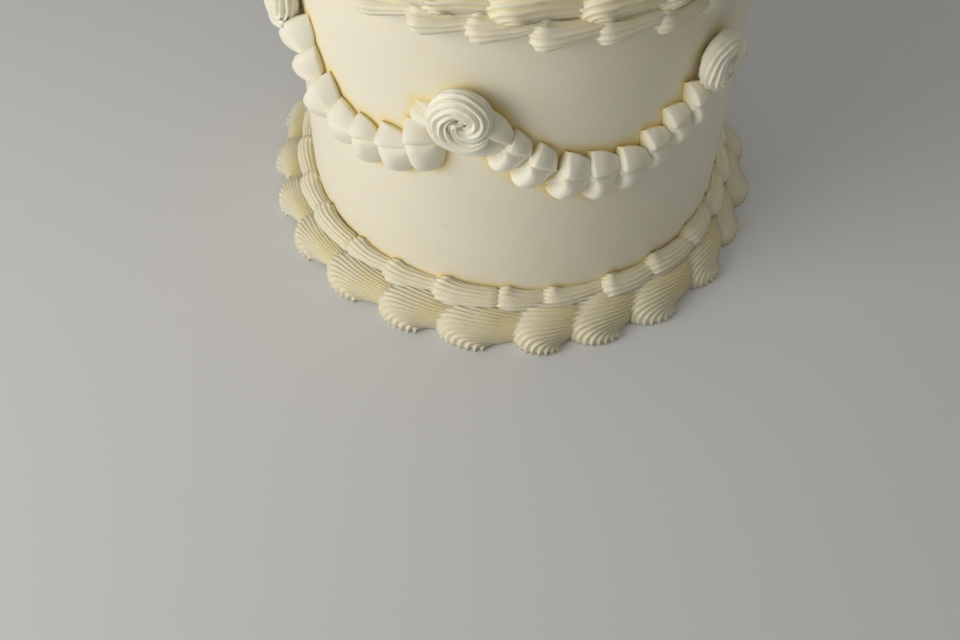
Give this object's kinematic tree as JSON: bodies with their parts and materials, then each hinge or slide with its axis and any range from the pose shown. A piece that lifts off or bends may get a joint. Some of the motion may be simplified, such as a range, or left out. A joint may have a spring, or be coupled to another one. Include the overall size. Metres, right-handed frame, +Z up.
{
  "type": "cake",
  "caption": "Round upright layer cake covered in smooth ivory cream, with piped shell borders at foot and rim, hanging swags and rosettes.",
  "frame": {"origin": "centre of the flat underside, on the surface that the cake stands on", "axes": "+Z up along the cake's axis; -Y out through the middle of the first rosette; +X to the right of it"},
  "size_m": [0.194, 0.1932, 0.149],
  "materials": {
    "smooth_cream": "smoothed buttercream with faint spatula marks and small pits, satin",
    "foot_shell_cream": "piped buttercream, fine ridges, soft satin buttercream, slightly translucent",
    "rim_shell_cream": "piped buttercream, fine ridges, soft satin buttercream, slightly translucent",
    "small_border_cream": "piped buttercream, fine ridges, soft satin buttercream, slightly translucent",
    "swag_cream": "piped buttercream, smooth petals, soft satin buttercream, slightly translucent",
    "rosette_cream": "piped buttercream, spiral ridges, soft satin buttercream, slightly translucent"
  },
  "bodies": {
    "root": {"body": "smooth_cream", "lower_small_border": "small_border_cream", "upper_small_border": "small_border_cream", "foot_shell_01": "foot_shell_cream", "foot_shell_02": "foot_shell_cream", "foot_shell_03": "foot_shell_cream", "foot_shell_04": "foot_shell_cream", "foot_shell_05": "foot_shell_cream", "foot_shell_06": "foot_shell_cream", "foot_shell_07": "foot_shell_cream", "foot_shell_08": "foot_shell_cream", "foot_shell_09": "foot_shell_cream", "foot_shell_10": "foot_shell_cream", "foot_shell_11": "foot_shell_cream", "foot_shell_12": "foot_shell_cream", "foot_shell_13": "foot_shell_cream", "foot_shell_14": "foot_shell_cream", "foot_shell_15": "foot_shell_cream", "foot_shell_16": "foot_shell_cream", "foot_shell_17": "foot_shell_cream", "foot_shell_18": "foot_shell_cream", "foot_shell_19": "foot_shell_cream", "foot_shell_20": "foot_shell_cream", "foot_shell_21": "foot_shell_cream", "foot_shell_22": "foot_shell_cream", "foot_shell_23": "foot_shell_cream", "rim_shell_01": "rim_shell_cream", "rim_shell_02": "rim_shell_cream", "rim_shell_03": "rim_shell_cream", "rim_shell_04": "rim_shell_cream", "rim_shell_05": "rim_shell_cream", "rim_shell_06": "rim_shell_cream", "rim_shell_07": "rim_shell_cream", "rim_shell_08": "rim_shell_cream", "rim_shell_09": "rim_shell_cream", "rim_shell_10": "rim_shell_cream", "rim_shell_11": "rim_shell_cream", "rim_shell_12": "rim_shell_cream", "rim_shell_13": "rim_shell_cream", "rim_shell_14": "rim_shell_cream", "rim_shell_15": "rim_shell_cream", "rim_shell_16": "rim_shell_cream", "rim_shell_17": "rim_shell_cream", "rim_shell_18": "rim_shell_cream", "rim_shell_19": "rim_shell_cream", "rim_shell_20": "rim_shell_cream", "rim_shell_21": "rim_shell_cream", "rim_shell_22": "rim_shell_cream", "rosette_1": "rosette_cream", "rosette_2": "rosette_cream", "rosette_3": "rosette_cream", "rosette_4": "rosette_cream", "rosette_5": "rosette_cream", "rosette_6": "rosette_cream", "swag_1": "swag_cream", "swag_2": "swag_cream", "swag_3": "swag_cream", "swag_4": "swag_cream"}
  },
  "joints": []
}
